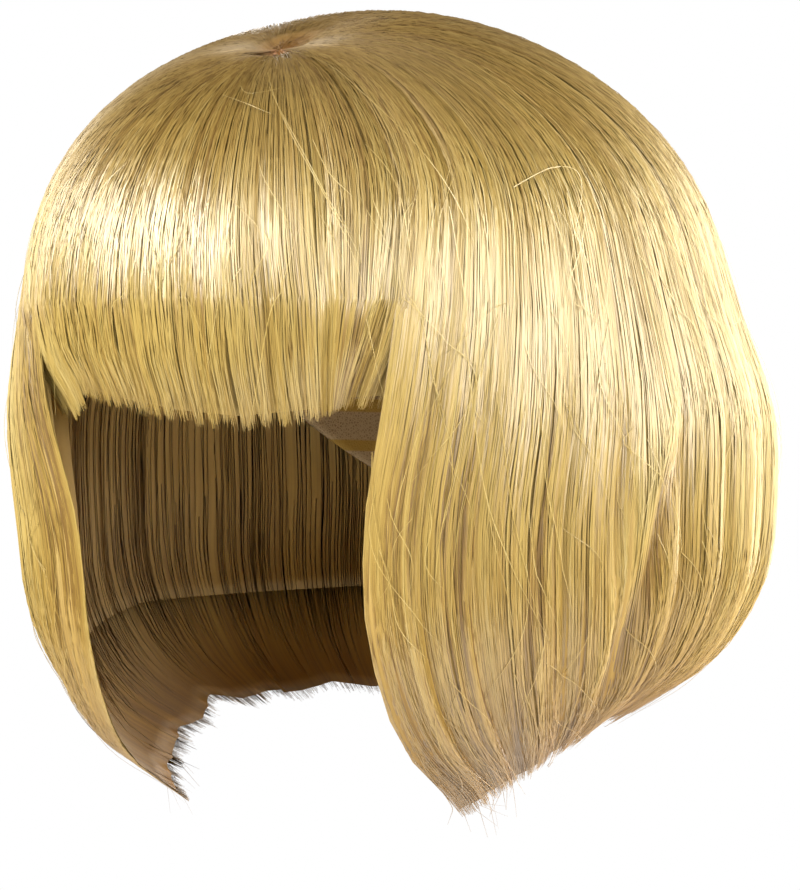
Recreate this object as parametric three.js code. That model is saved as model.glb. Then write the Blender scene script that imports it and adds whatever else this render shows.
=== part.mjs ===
// A chin-length bob wig with a full fringe, in the shape that it takes when it is worn.
// Millimetres and degrees. +Z is up, the face looks along -Y, and the wearer's left is +X.
// The origin is the point inside the cap where the top of the head touches it.
//
// Every surface comes from one family. A strand leaves the whorl, runs over the dome down to the girth,
// and falls from there to the hem. It is named by its bearing: 0 at the middle of the forehead, 90 over the
// wearer's left ear, 180 at the middle of the back. run counts along the strand: 0 at the whorl, 1 at the
// girth, 2 at the hem. depth tells the layers apart: 0 on the cap's outer face, 1 on the hair's outer face.
import * as THREE from "three";
import { mergeVertices } from "three/addons/utils/BufferGeometryUtils.js";

// The cap, measured inside
const capHalfWidth = 77;
const capFront = 94;
const capBack = 96;
const capHeight = 76;
const capWall = 1.5;
const girthTilt = 0.12; // how much lower the girth lies for each millimetre towards the back
const crownLevel = 0.4; // the share of that tilt which is gone at the top

// How far the hair stands off the cap's inner face
const crownHair = 10.5;
const sideHair = 20.5;
const fringeHair = 13;
const backHair = 15;

// The whorl, where the strands part in all directions
const whorlForward = 46;
const whorlDip = 5;
const whorlReach = 26;

// How far the hair hangs below the girth
const dropFront = 140;
const dropSide = 114;
const dropBack = 106;
const backTurn = 50; // the degrees behind the ear over which the hem passes from the side's drop to the back's
const dropFringe = 31;
const sweepAngle = 14;
const girthSweep = -0.35; // the share of sweepAngle by which strands at the temples lean where they pass the girth
const sweepStart = 0.6; // the run at which they start to

// How much the outer layers still widen where they reach the girth, as a share of their radius for each height
const sideFlare = 0.3;
const backFlare = 0.24;

// Clearances between pieces
const capClearance = 1.2;
const layerClearance = 1.2;
const pieceClearance = 0.8;
const seamClearance = 0.5;

// The crown patch and the bare spot in the hair over it
const patchRadius = 22;
const bareRadius = 4.5;

// Where one piece ends and the next begins, as bearings: the front locks lie over the ends of the fringe
const lockFront = 43;
const lockWidth = 14;
const fringeOverlap = 8;
const sideBack = 112;

// The fringe sinks under a front lock between these angles before the lock's edge.
const tuckStart = 8;
const tuckEnd = 3;

// The outer hair lies over a fringe's end, and sinks back onto the cap between these angles beyond it.
const coverMargin = 1;
const coverEnd = 6;

// The middle surface, on which the outer hair lies over the ends of the fringe and over the under hair
const middleDepth = 0.5;
const underDepthAtHem = 0.15;
const fringeDepthAtHem = 0.35;
const fringeThinning = 0.15;

// The under hair starts above the girth, and the outer hair lifts off the cap before that. Both are runs.
const underRise = 0.16;
const liftRise = 0.16;

// The grooves between locks, as shares of the outer hair's thickness, and the runs over which they deepen
const grooveOnDome = 0.12;
const grooveOnFall = 0.5;
const domeGrooves = { from: 0.1, to: 0.6 };
const fallGrooves = { from: 0.8, to: 1.5 };

// The runs over which a lock rises by its lift, and over which it loses a share of it again
const liftRises = { from: 0.5, to: 1.3 };
const liftFades = { from: 1.6, to: 2, share: 0.7 };

// The front locks thin towards the face, by this share of their thickness
const faceEdge = 0.55;
const faceEdgeWidth = 7;

// Faces along and across the strands
const crownRows = 6;
const liftRows = 2;
const girthRows = 2;
const fallRows = 7;
const underFallRows = 6;
const fringeFallRows = 3;
const capRows = 10;
const capColumns = 36;
const patchRings = 2;
const underColumns = 38;

// The fall of the hair from the girth to the hem: shares of the drop and of the girth's half width, front
// and back. sweep is the share of sweepAngle by which strands at the temples lean back, or forward below 0.
const hairFall = [
  { at: 0.0, drop: 0.0, side: 1.0, front: 1.0, back: 1.0, sweep: girthSweep },
  { at: 0.2, drop: 0.21, side: 1.07, front: 0.99, back: 1.045, sweep: -0.72 },
  { at: 0.4, drop: 0.43, side: 1.07, front: 0.965, back: 1.04, sweep: -1.0 },
  { at: 0.6, drop: 0.65, side: 1.035, front: 0.95, back: 0.965, sweep: -0.95 },
  { at: 0.8, drop: 0.85, side: 0.885, front: 0.865, back: 0.825, sweep: -0.45 },
  { at: 1.0, drop: 1.0, side: 0.617, front: 0.686, back: 0.653, sweep: 0.75 },
];

// The fringe hangs nearly straight and closes in on the forehead.
const fringeFall = [
  { at: 0.0, drop: 0.0, side: 1.0, front: 1.0, back: 1.0, sweep: girthSweep },
  { at: 0.5, drop: 0.5, side: 0.995, front: 0.995, back: 1.0, sweep: -0.56 },
  { at: 1.0, drop: 1.0, side: 0.97, front: 0.965, back: 1.0, sweep: -0.8 },
];

// The cap follows the skull, so it closes in below the girth.
const capFall = [
  { at: 0.0, drop: 0.0, side: 1.0, front: 1.0, back: 1.0, sweep: girthSweep },
  { at: 0.3, drop: 0.31, side: 0.985, front: 0.98, back: 0.975, sweep: girthSweep },
  { at: 0.6, drop: 0.62, side: 0.93, front: 0.93, back: 0.86, sweep: girthSweep },
  { at: 1.0, drop: 1.0, side: 0.8, front: 0.8, back: 0.7, sweep: girthSweep },
];

// The cap's edge: over the forehead, down to a tab before each ear, up over the ear, down to the nape
const capEdge = [
  { at: 0, run: 0.82 },
  { at: 40, run: 0.88 },
  { at: 68, run: 1.2 },
  { at: 95, run: 1.04 },
  { at: 120, run: 1.2 },
  { at: 150, run: 1.4 },
  { at: 180, run: 1.42 },
];

// The locks of each piece, in order of bearing: width as a share of the piece, length as a share of the drop,
// and lift, the millimetres by which the lock stands proud of the surface near its middle.
const fringeLocks = [
  { width: 0.09, length: 0.97, lift: 0.4 },
  { width: 0.13, length: 1.0, lift: 0.9 },
  { width: 0.1, length: 0.84, lift: 0.0 },
  { width: 0.12, length: 0.95, lift: 0.7 },
  { width: 0.11, length: 1.06, lift: 0.2 },
  { width: 0.12, length: 1.12, lift: 0.8 },
  { width: 0.11, length: 1.05, lift: 0.3 },
  { width: 0.12, length: 0.93, lift: 0.6 },
  { width: 0.1, length: 0.88, lift: 0.0 },
];
const frontLocks = [
  { width: 0.5, length: 1.0, lift: 0.4 },
  { width: 0.5, length: 0.985, lift: 0.0 },
];
const leftSideLocks = [
  { width: 0.2, length: 0.985, lift: 0.8 },
  { width: 0.13, length: 0.965, lift: -0.8 },
  { width: 0.19, length: 0.99, lift: 0.6 },
  { width: 0.16, length: 0.97, lift: 0.0 },
  { width: 0.2, length: 0.985, lift: 1.0 },
  { width: 0.12, length: 0.95, lift: -1.6 },
];
const rightSideLocks = [
  { width: 0.14, length: 0.97, lift: -0.4 },
  { width: 0.2, length: 0.985, lift: 0.8 },
  { width: 0.15, length: 0.96, lift: -0.6 },
  { width: 0.18, length: 0.99, lift: 0.5 },
  { width: 0.14, length: 0.97, lift: 0.0 },
  { width: 0.19, length: 0.985, lift: 0.9 },
];
const backLocks = [
  { width: 0.08, length: 0.98, lift: 0.8 },
  { width: 0.06, length: 0.96, lift: -0.6 },
  { width: 0.09, length: 0.99, lift: 0.5 },
  { width: 0.07, length: 0.97, lift: 0.0 },
  { width: 0.09, length: 0.985, lift: 0.7 },
  { width: 0.07, length: 0.965, lift: -0.5 },
  { width: 0.09, length: 0.99, lift: 0.6 },
  { width: 0.07, length: 0.97, lift: -0.2 },
  { width: 0.09, length: 0.985, lift: 0.7 },
  { width: 0.07, length: 0.965, lift: 0.0 },
  { width: 0.08, length: 0.99, lift: 0.6 },
  { width: 0.06, length: 0.96, lift: -0.5 },
  { width: 0.08, length: 0.98, lift: 0.8 },
];

// A lock's section: how much of its height it has at these shares of its width
const lockSection = [
  { at: 0, height: 0 },
  { at: 0.3, height: 0.9 },
  { at: 0.7, height: 0.9 },
];

// How fast the rows close up towards the girth
const domeSpacing = 1.7;

const fringeEnd = lockFront + fringeOverlap;
const lockBack = lockFront + lockWidth;
const underStart = 1 - underRise;
const liftStart = underStart - liftRise;
const whorl = new THREE.Vector2(0, -whorlForward);
const radians = THREE.MathUtils.degToRad;
const degrees = THREE.MathUtils.radToDeg;
const smooth = THREE.MathUtils.smoothstep;
const mix = THREE.MathUtils.lerp;

// A bearing of any sign, as its angle from the middle of the forehead
function fromFront(bearing) {
  const turned = Math.abs(bearing) % 360;
  return turned > 180 ? 360 - turned : turned;
}

// A smooth curve through one column of a table. It starts level.
function curve(table, column, at) {
  const last = table.length - 1;
  const slope = (k) => {
    if (k === 0) return 0;
    const [low, high] = [table[k - 1], table[Math.min(k + 1, last)]];
    return (high[column] - low[column]) / (high.at - low.at);
  };
  let k = 0;
  while (k < last - 1 && at > table[k + 1].at) k += 1;
  const [start, end] = [table[k], table[k + 1]];
  const span = end.at - start.at;
  const u = THREE.MathUtils.clamp((at - start.at) / span, 0, 1);
  return (
    (1 + 2 * u) * (1 - u) ** 2 * start[column] +
    u * (1 - u) ** 2 * span * slope(k) +
    u * u * (3 - 2 * u) * end[column] +
    u * u * (u - 1) * span * slope(k + 1)
  );
}

// Half width, front, back and height of the layer at a depth, moved outwards by extra
function layerAxes(depth, extra) {
  return {
    side: mix(capHalfWidth + capWall, capHalfWidth + sideHair, depth) + extra,
    front: mix(capFront + capWall, capFront + fringeHair, depth) + extra,
    back: mix(capBack + capWall, capBack + backHair, depth) + extra,
    height: capHeight + mix(capWall, crownHair, depth) + extra,
  };
}

// The point of an oval at a bearing
function ovalPoint(bearing, side, front, back) {
  const angle = radians(bearing);
  const length = Math.cos(angle) > 0 ? front : back;
  return new THREE.Vector2(side * Math.sin(angle), -length * Math.cos(angle));
}

// How far a strand falls below the girth
function hairDrop(bearing) {
  const angle = fromFront(bearing);
  const toSide = Math.max(0, Math.min(1, (angle - lockFront) / (90 - lockFront)));
  const toBack = Math.max(0, Math.min(1, (angle - 90) / backTurn));
  return mix(mix(dropFront, dropSide, toSide), dropBack, toBack);
}

// How far along the line from the whorl to the girth a run lies in plan. Near the girth, where the dome is
// steep, the rows come closer, so they stay even on the surface.
function planShare(run) {
  return 1 - (1 - run) ** domeSpacing;
}

// The run at which a strand is a given distance from the whorl in plan
function runAtDistance(bearing, distance) {
  const rim = ovalPoint(bearing, capHalfWidth + capWall, capFront + capWall, capBack + capWall);
  return 1 - (1 - distance / rim.distanceTo(whorl)) ** (1 / domeSpacing);
}

// Where a strand lies once it leans by an amount, a share of sweepAngle. Only strands near the temples lean.
function leaningBearing(bearing, amount) {
  const angle = fromFront(bearing);
  const leaning = smooth(angle, lockFront / 2, lockFront) * (1 - smooth(angle, lockFront, sideBack));
  const sweep = sweepAngle * amount * leaning;
  return bearing + (Math.sin(radians(bearing)) < 0 ? -sweep : sweep);
}

// A point on the dome. In plan a strand runs straight from the whorl to the girth, apart from its lean.
function domePoint(bearing, run, depth, extra) {
  const axes = layerAxes(depth, extra);
  const lean = girthSweep * (Math.max(0, run - sweepStart) / (1 - sweepStart)) ** 2;
  const rim = ovalPoint(leaningBearing(bearing, lean), axes.side, axes.front, axes.back);
  const spot = whorl.clone().lerp(rim, planShare(run));
  const across = spot.x / axes.side;
  const along = spot.y / (spot.y < 0 ? axes.front : axes.back);
  const rise = Math.sqrt(Math.max(0, 1 - across ** 2 - along ** 2));
  const dip = whorlDip * Math.exp(-((spot.distanceTo(whorl) / whorlReach) ** 2));
  const tilt = girthTilt * (1 - crownLevel * rise);
  const height = axes.height * rise - capHeight - tilt * spot.y - depth * dip;
  const waist = depth * rise * (1 - rise) ** 4;
  const flare = spot.y > 0 ? backFlare : 0;
  return new THREE.Vector3(spot.x * (1 - sideFlare * waist), spot.y * (1 - flare * waist), height);
}

// A point below the girth. fall is one of the tables above, and drop the strand's whole fall.
function fallPoint(bearing, share, depth, extra, fall, drop) {
  const axes = layerAxes(depth, extra);
  const girth = ovalPoint(leaningBearing(bearing, girthSweep), axes.side, axes.front, axes.back);
  const spot = ovalPoint(
    leaningBearing(bearing, curve(fall, "sweep", share)),
    axes.side * curve(fall, "side", share),
    axes.front * curve(fall, "front", share),
    axes.back * curve(fall, "back", share),
  );
  const height = -capHeight - girthTilt * girth.y - drop * curve(fall, "drop", share);
  return new THREE.Vector3(spot.x, spot.y, height);
}

function surfacePoint(bearing, run, depth, extra, fall, drop) {
  if (run <= 1) return domePoint(bearing, run, depth, extra);
  return fallPoint(bearing, run - 1, depth, extra, fall, drop);
}

// A closed wall between two grids of points. outer and inner give the point of a column and a row; bearings
// grow with the columns and strands run down with the rows. A ring joins its last column to its first.
function wallGeometry(columns, rows, outer, inner, ring = false) {
  const corners = [];
  const face = (a, b, c) => {
    if (a.distanceTo(b) && b.distanceTo(c) && c.distanceTo(a)) corners.push(a, b, c);
  };
  const quad = (a, b, c, d) => {
    face(a, b, c);
    face(a, c, d);
  };
  const count = ring ? columns : columns + 1;
  const grid = (point) =>
    Array.from({ length: count }, (_, i) => Array.from({ length: rows + 1 }, (_, j) => point(i, j)));
  const [out, back] = [grid(outer), grid(inner)];
  for (let i = 0; i < columns; i += 1) {
    const next = (i + 1) % count;
    for (let j = 0; j < rows; j += 1) {
      quad(out[i][j], out[i][j + 1], out[next][j + 1], out[next][j]);
      quad(back[i][j], back[next][j], back[next][j + 1], back[i][j + 1]);
    }
    quad(out[i][0], out[next][0], back[next][0], back[i][0]);
    quad(out[i][rows], back[i][rows], back[next][rows], out[next][rows]);
  }
  for (let j = 0; j < rows && !ring; j += 1) {
    quad(out[0][j], back[0][j], back[0][j + 1], out[0][j + 1]);
    quad(out[columns][j], out[columns][j + 1], back[columns][j + 1], back[columns][j]);
  }
  const geometry = mergeVertices(new THREE.BufferGeometry().setFromPoints(corners));
  geometry.computeVertexNormals();
  return geometry;
}

function namedMesh(name, geometry, finish) {
  const mesh = new THREE.Mesh(geometry, new THREE.MeshStandardMaterial(finish));
  mesh.name = name;
  return mesh;
}

// The runs of a strand's rows. Every hair piece has the same rows, so their faces stay parallel.
function strandRuns(bearing, fallSteps) {
  const root = runAtDistance(bearing, bareRadius);
  const steps = (count, from, to) => Array.from({ length: count }, (_, j) => mix(from, to, j / count));
  return [
    ...steps(crownRows, root, liftStart),
    ...steps(liftRows, liftStart, underStart),
    ...steps(girthRows, underStart, 1),
    ...steps(fallSteps, 1, 1 + fallSteps / fallRows),
    1 + fallSteps / fallRows,
  ];
}

// The columns of a piece that is made of locks: the share of the piece's width, the lock's height there, and
// its length and lift. Where two locks meet, the column takes the mean of both.
function lockColumns(locks) {
  const total = locks.reduce((sum, lock) => sum + lock.width, 0);
  const columns = [];
  let start = 0;
  locks.forEach((lock, k) => {
    const before = locks[Math.max(k - 1, 0)];
    lockSection.forEach(({ at, height }) => {
      const own = at > 0 ? 1 : 0.5;
      columns.push({
        share: (start + at * lock.width) / total,
        height,
        length: mix(before.length, lock.length, own),
        lift: mix(before.lift, lock.lift, own),
      });
    });
    start += lock.width;
  });
  const last = locks[locks.length - 1];
  columns.push({ share: 1, height: 0, length: last.length, lift: last.lift });
  return columns;
}

// The bearing between two edges, which draw in by half a clearance so that neighbours stay apart
function bearingBetween(from, to, share, run) {
  const inset = degrees(pieceClearance / 2 / (planShare(Math.min(run, 1)) * capHalfWidth));
  return mix(from + inset, to - inset, share);
}

// The depth of the outer face of a lock: grooves between the locks grow down the strand
function lockDepth(column, run) {
  const onDome = grooveOnDome * smooth(run, domeGrooves.from, domeGrooves.to);
  const groove = mix(onDome, grooveOnFall, smooth(run, fallGrooves.from, fallGrooves.to));
  return 1 - (1 - column.height) * groove * (1 - middleDepth);
}

// Each lock stands proud by its own lift, most of all beside the face.
function lockLift(column, run) {
  const risen = smooth(run, liftRises.from, liftRises.to);
  return column.lift * risen * (1 - liftFades.share * smooth(run, liftFades.from, liftFades.to));
}

// The outer hair lies on the cap near the whorl, and elsewhere over the under hair and the fringe's ends.
function outerHairBack(bearing, run) {
  const overUnder = smooth(run, liftStart, underStart);
  const overFringe = 1 - smooth(fromFront(bearing), fringeEnd + coverMargin, fringeEnd + coverEnd);
  const lifted = Math.max(overUnder, overFringe);
  return { depth: middleDepth * lifted, extra: mix(capClearance, layerClearance, lifted) };
}

function makeOuterHair(name, locks, from, to, finish) {
  const columns = lockColumns(locks);
  const rows = crownRows + liftRows + girthRows + fallRows;
  const strand = (i, j) => {
    const middle = mix(from, to, columns[i].share);
    const run = j < rows ? strandRuns(middle, fallRows)[j] : 1 + columns[i].length;
    const bearing = bearingBetween(from, to, columns[i].share, run);
    return { bearing, run, drop: hairDrop(middle) };
  };
  const outer = (i, j) => {
    const { bearing, run, drop } = strand(i, j);
    const edge = faceEdge * (1 - smooth(fromFront(bearing), lockFront, lockFront + faceEdgeWidth));
    const depth = mix(lockDepth(columns[i], run), middleDepth, edge);
    return surfacePoint(bearing, run, depth, lockLift(columns[i], run), hairFall, drop);
  };
  const inner = (i, j) => {
    const { bearing, run, drop } = strand(i, j);
    const { depth, extra } = outerHairBack(bearing, run);
    return surfacePoint(bearing, run, depth, extra, hairFall, drop);
  };
  return namedMesh(name, wallGeometry(columns.length - 1, rows, outer, inner), finish);
}

// Where the front lock's edge lies at the height of a row of the fringe, as a bearing
function lockEdgeBearing(share) {
  const lockSweep = curve(hairFall, "sweep", (share * dropFringe) / dropFront);
  return lockFront + sweepAngle * (lockSweep - curve(fringeFall, "sweep", share));
}

// The fringe hangs over the forehead, and its ends sink to the middle surface to pass under the front locks.
function makeFringe(finish) {
  const columns = lockColumns(fringeLocks);
  const strand = (i, j) => {
    const middle = mix(-fringeEnd, fringeEnd, columns[i].share);
    const row = strandRuns(middle, fringeFallRows)[j];
    const run = row > 1 ? 1 + (j - crownRows - liftRows - girthRows) / fringeFallRows : row;
    return { bearing: bearingBetween(-fringeEnd, fringeEnd, columns[i].share, run), run };
  };
  const point = (i, j, depth, extra) => {
    const { bearing, run } = strand(i, j);
    return surfacePoint(bearing, run, depth, extra, fringeFall, dropFringe * columns[i].length);
  };
  const outer = (i, j) => {
    const { bearing, run } = strand(i, j);
    const edge = lockEdgeBearing(Math.max(0, run - 1));
    const tuck = smooth(fromFront(bearing), edge - tuckStart, edge - tuckEnd);
    const depth = lockDepth(columns[i], run) - fringeThinning * smooth(run, 1, 2);
    return point(i, j, mix(depth, middleDepth, tuck), lockLift(columns[i], run) * (1 - tuck));
  };
  const inner = (i, j) => point(i, j, fringeDepthAtHem * smooth(strand(i, j).run, 1, 2), capClearance);
  const rows = crownRows + liftRows + girthRows + fringeFallRows;
  return namedMesh("fringe", wallGeometry(columns.length - 1, rows, outer, inner), finish);
}

// The shorter rows of hair beneath, from one temple round the nape to the other
function makeUnderHair(finish) {
  const strand = (i, j) => {
    const run = strandRuns(180, underFallRows)[crownRows + liftRows + j];
    const bearing = bearingBetween(fringeEnd, 360 - fringeEnd, i / underColumns, run);
    return { bearing, run, drop: hairDrop(bearing) };
  };
  const outer = (i, j) => {
    const { bearing, run, drop } = strand(i, j);
    return surfacePoint(bearing, run, middleDepth, 0, hairFall, drop);
  };
  const inner = (i, j) => {
    const { bearing, run, drop } = strand(i, j);
    return surfacePoint(bearing, run, underDepthAtHem * smooth(run, 1, 2), capClearance, hairFall, drop);
  };
  return namedMesh("under_hair", wallGeometry(underColumns, girthRows + underFallRows, outer, inner), finish);
}

// The cap is a ring from the crown patch down to its edge.
function makeCap(finish) {
  const point = (i, j, extra) => {
    const bearing = (i * 360) / capColumns;
    const top = runAtDistance(bearing, patchRadius + seamClearance);
    const run = mix(top, curve(capEdge, "run", fromFront(bearing)), j / capRows);
    return surfacePoint(bearing, run, 0, extra, capFall, dropSide);
  };
  const outer = (i, j) => point(i, j, 0);
  const inner = (i, j) => point(i, j, -capWall);
  return namedMesh("cap", wallGeometry(capColumns, capRows, outer, inner, true), finish);
}

// The skin-coloured patch that closes the cap at the whorl, and shows where the hair parts
function makeCrownPatch(finish) {
  const point = (i, j, extra) => {
    const bearing = (i * 360) / capColumns;
    return domePoint(bearing, (runAtDistance(bearing, patchRadius) * j) / patchRings, 0, extra);
  };
  const outer = (i, j) => point(i, j, 0);
  const inner = (i, j) => point(i, j, -capWall);
  return namedMesh("crown_patch", wallGeometry(capColumns, patchRings, outer, inner, true), finish);
}

const hairFinish = { color: 0xd9bd76, roughness: 0.38, metalness: 0 };
const underFinish = { color: 0xb18e4e, roughness: 0.45, metalness: 0 };
const capFinish = { color: 0xc9b08a, roughness: 0.85, metalness: 0 };
const patchFinish = { color: 0xc08a5a, roughness: 0.7, metalness: 0 };

const wig = new THREE.Group();
wig.add(makeCap(capFinish));
wig.add(makeCrownPatch(patchFinish));
wig.add(makeUnderHair(underFinish));
wig.add(makeFringe(hairFinish));
wig.add(makeOuterHair("front_lock_left", frontLocks, lockFront, lockBack, hairFinish));
wig.add(makeOuterHair("side_hair_left", leftSideLocks, lockBack, sideBack, hairFinish));
wig.add(makeOuterHair("back_hair", backLocks, sideBack, 360 - sideBack, hairFinish));
wig.add(makeOuterHair("side_hair_right", rightSideLocks, -sideBack, -lockBack, hairFinish));
wig.add(makeOuterHair("front_lock_right", [...frontLocks].reverse(), -lockBack, -lockFront, hairFinish));

export default wig;
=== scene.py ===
import bpy
import numpy as np
from mathutils import Matrix, Vector


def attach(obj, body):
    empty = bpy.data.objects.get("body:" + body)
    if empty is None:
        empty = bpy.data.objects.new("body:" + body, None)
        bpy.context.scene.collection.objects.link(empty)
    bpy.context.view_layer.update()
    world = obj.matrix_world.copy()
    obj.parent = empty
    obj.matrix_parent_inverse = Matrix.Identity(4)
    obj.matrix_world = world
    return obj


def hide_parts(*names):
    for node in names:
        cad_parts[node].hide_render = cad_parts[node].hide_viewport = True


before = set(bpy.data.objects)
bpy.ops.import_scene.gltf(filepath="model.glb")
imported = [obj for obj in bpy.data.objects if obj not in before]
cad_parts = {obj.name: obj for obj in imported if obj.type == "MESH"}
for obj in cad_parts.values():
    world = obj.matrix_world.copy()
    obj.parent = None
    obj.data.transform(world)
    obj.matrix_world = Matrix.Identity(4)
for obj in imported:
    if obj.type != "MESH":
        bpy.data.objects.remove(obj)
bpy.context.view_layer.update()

METRES = 0.001
SEED = 7

# The sizes of the solids, which every surface here follows
CAP_HALF_WIDTH = 77
CAP_FRONT = 94
CAP_BACK = 96
CAP_HEIGHT = 76
CAP_WALL = 1.5
GIRTH_TILT = 0.12
CROWN_LEVEL = 0.4
CROWN_HAIR = 10.5
SIDE_HAIR = 20.5
FRINGE_HAIR = 13
BACK_HAIR = 15
WHORL = np.array([0.0, -46.0])
WHORL_DIP = 5
WHORL_REACH = 26
DROP_FRONT = 140
DROP_SIDE = 114
DROP_BACK = 106
DROP_FRINGE = 31
BACK_TURN = 50  # the degrees behind the ear over which the side's drop passes to the back's
SWEEP_ANGLE = 14
GIRTH_SWEEP = -0.35
SWEEP_START = 0.6
SIDE_FLARE = 0.3
BACK_FLARE = 0.24
DOME_SPACING = 1.7
CAP_CLEARANCE = 1.2
LAYER_CLEARANCE = 1.2
PATCH_RADIUS = 22
SEAM_CLEARANCE = 0.5
BARE_RADIUS = 1.5

# Where the pieces meet, as bearings from the middle of the forehead
EAR = 90
LOCK_FRONT = 43
LOCK_BACK = 57
FRINGE_END = 51
SIDE_BACK = 112
FRINGE_SINK = 6
COVER_MARGIN = 1
COVER_END = 6

# The layers, as shares of the hair's depth, and the relief of the locks
MIDDLE_DEPTH = 0.5
UNDER_DEPTH_AT_HEM = 0.15
FRINGE_DEPTH_AT_HEM = 0.35
FRINGE_THINNING = 0.15
UNDER_START = 0.84
LIFT_START = 0.68
UNDER_END = 1 + 6 / 7
LOCK_ROUNDNESS = 2.5
GROOVE_ON_DOME = 0.12
GROOVE_ON_FALL = 0.4
GROOVE_ON_UNDER_HAIR = 0.12
FACE_EDGE = 0.55
FACE_EDGE_WIDTH = 7
LIFT_FADE = 0.7

# The runs between which the relief comes in, and those over which a lock's lift fades again
DOME_GROOVES = (0.1, 0.6)
FALL_GROOVES = (0.8, 1.5)
UNDER_GROOVES = (1, 1.6)
FACE_EDGE_RUNS = (1.1, 1.4)
LIFT_RISES = (0.5, 1.3)
LIFT_FADES = (1.6, 2)

# The fall from the girth to the hem: shares of the drop, of the girth's half width, front and back, and of
# the sweep
HAIR_FALL = {
    "at": [0.0, 0.2, 0.4, 0.6, 0.8, 1.0],
    "drop": [0.0, 0.21, 0.43, 0.65, 0.85, 1.0],
    "side": [1.0, 1.07, 1.07, 1.035, 0.885, 0.617],
    "front": [1.0, 0.99, 0.965, 0.95, 0.865, 0.686],
    "back": [1.0, 1.045, 1.04, 0.965, 0.825, 0.653],
    "sweep": [GIRTH_SWEEP, -0.72, -1.0, -0.95, -0.45, 0.75],
}
FRINGE_FALL = {
    "at": [0.0, 0.5, 1.0],
    "drop": [0.0, 0.5, 1.0],
    "side": [1.0, 0.995, 0.97],
    "front": [1.0, 0.995, 0.965],
    "back": [1.0, 1.0, 1.0],
    "sweep": [GIRTH_SWEEP, -0.56, -0.8],
}
CAP_FALL = {
    "at": [0.0, 0.3, 0.6, 1.0],
    "drop": [0.0, 0.31, 0.62, 1.0],
    "side": [1.0, 0.985, 0.93, 0.8],
    "front": [1.0, 0.98, 0.93, 0.8],
    "back": [1.0, 0.975, 0.86, 0.7],
    "sweep": [GIRTH_SWEEP] * 4,
}
CAP_EDGE = {
    "at": [0, 40, 68, 95, 120, 150, 180],
    "run": [0.82, 0.88, 1.2, 1.04, 1.2, 1.4, 1.42],
}

# The locks of each piece, in order of bearing: share of the width, share of the drop, and lift off the
# surface in millimetres
FRINGE_LOCKS = {
    "width": [0.09, 0.13, 0.1, 0.12, 0.11, 0.12, 0.11, 0.12, 0.1],
    "length": [0.97, 1.0, 0.84, 0.95, 1.06, 1.12, 1.05, 0.93, 0.88],
    "lift": [0.4, 0.9, 0.0, 0.7, 0.2, 0.8, 0.3, 0.6, 0.0],
}
LEFT_FRONT_LOCKS = {"width": [0.5, 0.5], "length": [1.0, 0.985], "lift": [0.4, 0.0]}
RIGHT_FRONT_LOCKS = {"width": [0.5, 0.5], "length": [0.985, 1.0], "lift": [0.0, 0.4]}
LEFT_SIDE_LOCKS = {
    "width": [0.2, 0.13, 0.19, 0.16, 0.2, 0.12],
    "length": [0.985, 0.965, 0.99, 0.97, 0.985, 0.95],
    "lift": [0.8, -0.8, 0.6, 0.0, 1.0, -1.6],
}
RIGHT_SIDE_LOCKS = {
    "width": [0.14, 0.2, 0.15, 0.18, 0.14, 0.19],
    "length": [0.97, 0.985, 0.96, 0.99, 0.97, 0.985],
    "lift": [-0.4, 0.8, -0.6, 0.5, 0.0, 0.9],
}
BACK_LOCKS = {
    "width": [0.08, 0.06, 0.09, 0.07, 0.09, 0.07, 0.09, 0.07, 0.09, 0.07, 0.08, 0.06, 0.08],
    "length": [0.98, 0.96, 0.99, 0.97, 0.985, 0.965, 0.99, 0.97, 0.985, 0.965, 0.99, 0.96, 0.98],
    "lift": [0.8, -0.6, 0.5, 0.0, 0.7, -0.5, 0.6, -0.2, 0.7, 0.0, 0.6, -0.5, 0.8],
}
UNDER_LOCKS = {"width": [1.0] * 24}

# Strands, in millimetres, and the thickness as a share of the width
STRAND_SIDES = 3
STRAND_WIDTH = 0.3
STRAND_WIDTHS = (0.6, 1.2)  # the shares of it that single strands have
STRAND_THICKNESS = 0.6
TUFT_WIDTH = 5

# How light falls on them
SURFACE_SHARE = 0.87  # how much a strand's normal is that of the hair around it
BAND_JITTER = 0.09  # how far single strands move the bands of light
NORMAL_BLURS = 3
DULL_ROOTS = (0.02, 0.09)  # half runs, between which a strand turns from dull to glossy
BELOW_GIRTH = 0.35  # the share of the height that counts in the way outward below the girth

# Where strands begin and end, as runs unless a comment says otherwise
LATE_STRANDS = 0.35  # the share that comes out late, from under its neighbours
LAST_ROOT = 0.9
LATE_ROOTS = (0.1, 1.0)  # shares of the way to the last root
LATE_CROWDING = 0.8
LATE_DEPTH = 0.4  # how much lower they begin, as a level
LATE_RISE = 0.25  # the share of their length over which they come up
ROOT_SPREAD = 0.02
ROOT_SPREADS = (-0.5, 1)
TIP_SHORTFALL = 0.4  # shares of a piece's own raggedness, here and in the next two
TIP_TOOTH = 0.6
TIP_NOISE = 0.3
STEP_SHIFT = 0.45  # the share of a step by which a strand's points move along it

# How strands wander from their place
TUFT_PULL = 0.6
TUFT_PULLS = (0.1, 1)
PULL_RUNS = (0.5, 2)
WANDER = 0.3  # millimetres
WANDER_RUNS = (0.1, 0.6)
WAVES = {"slow": 2.5, "middle": 4, "fast": 7}  # radians for each unit of the run
FAST_SHARE = 0.6
TUFT_STEP = 0.1  # how much higher or lower a whole tuft lies, as a level
TUFT_STEP_RUNS = (0.6, 1.4)
PATTERN_SPREAD = 0.5  # millimetres

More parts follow.
